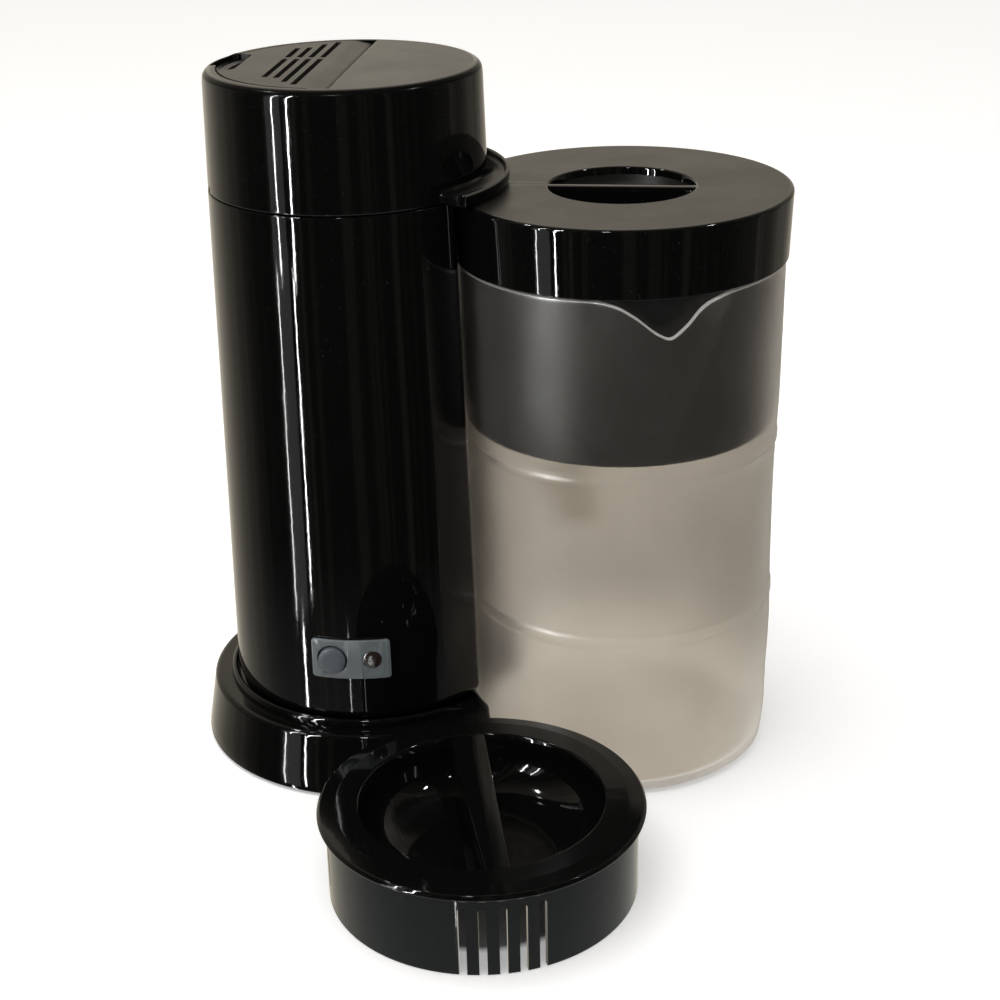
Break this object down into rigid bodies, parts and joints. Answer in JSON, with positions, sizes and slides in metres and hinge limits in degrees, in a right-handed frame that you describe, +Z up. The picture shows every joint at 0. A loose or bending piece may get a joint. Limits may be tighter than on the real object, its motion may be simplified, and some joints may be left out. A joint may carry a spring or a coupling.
{
  "type": "iced tea maker",
  "caption": "Counter-top iced tea maker: round tower brewer with a vented, hinged reservoir flap, a docked frosted pitcher with brew basket and lid, and a spare strainer lid.",
  "frame": {"origin": "middle of the whole set's underside, on the counter", "axes": "+Z up; the pitcher docks on the brewer's +X side; the controls and the spout face -Y"},
  "size_m": [0.2704, 0.3092, 0.3113],
  "materials": {
    "gloss_black": "high gloss",
    "satin_black": "satin",
    "frosted": "frosted, see-through",
    "tank_black": "moulded",
    "plate_grey": "satin",
    "button_grey": "satin",
    "amber": "clear tinted",
    "rubber": "matte",
    "silicone": "satin",
    "aluminium": "as cast",
    "steel": "bright",
    "moulded_black": "matte"
  },
  "bodies": {
    "brewer": {"base_shell": "gloss_black", "body_shell": "gloss_black", "cap_shell": "gloss_black", "reservoir_tank": "tank_black", "hinge_pin": "steel", "control_plate": "plate_grey", "lamp_lens": "amber", "lamp_holder": "moulded_black", "switch_body": "moulded_black", "bottom_cover": "moulded_black", "cover_screw_1": "steel", "cover_screw_2": "steel", "cover_screw_3": "steel", "foot_right_rear": "rubber", "foot_left_rear": "rubber", "foot_left_front": "rubber", "foot_right_front": "rubber", "heater_block": "aluminium", "heater_bracket": "steel", "thermostat": "steel", "thermal_fuse": "moulded_black", "check_valve": "moulded_black", "supply_hose": "silicone", "riser_hose": "silicone", "nozzle_tube": "moulded_black", "cord_gland": "rubber", "terminal_block": "moulded_black"},
    "flap": {"reservoir_flap": "satin_black"},
    "button": {"power_button": "button_grey"},
    "pitcher": {"pitcher": "frosted", "brew_basket": "satin_black"},
    "brew_lid": {"basket_lid": "gloss_black"},
    "spare_lid": {"storage_lid": "gloss_black"}
  },
  "joints": [
    {"name": "flap_hinge", "type": "hinge", "parent": "brewer", "child": "flap", "pos_m": [-0.05361, 0.04818, 0.3079], "axis": [0, 1, 0], "range_deg": [0, 100]},
    {"name": "button_press", "type": "slide", "parent": "brewer", "child": "button", "axis": [-0.0349, 0.9994, 0], "range_m": [0, 0.0015], "stiffness_N_per_m": 500, "springref_m": -0.001},
    {"name": "pitcher_slide", "type": "slide", "parent": "brewer", "child": "pitcher", "axis": [1, 0, 0], "range_m": [0, 0.2]},
    {"name": "brew_lid_turn", "type": "hinge", "parent": "pitcher", "child": "brew_lid", "pos_m": [0.06259, 0.04818, 0.25], "axis": [0, 0, 1], "continuous": true},
    {"name": "storage_lid_lift", "type": "slide", "parent": "brewer", "child": "spare_lid", "axis": [0, 0, 1], "range_m": [0, 0.12]}
  ]
}
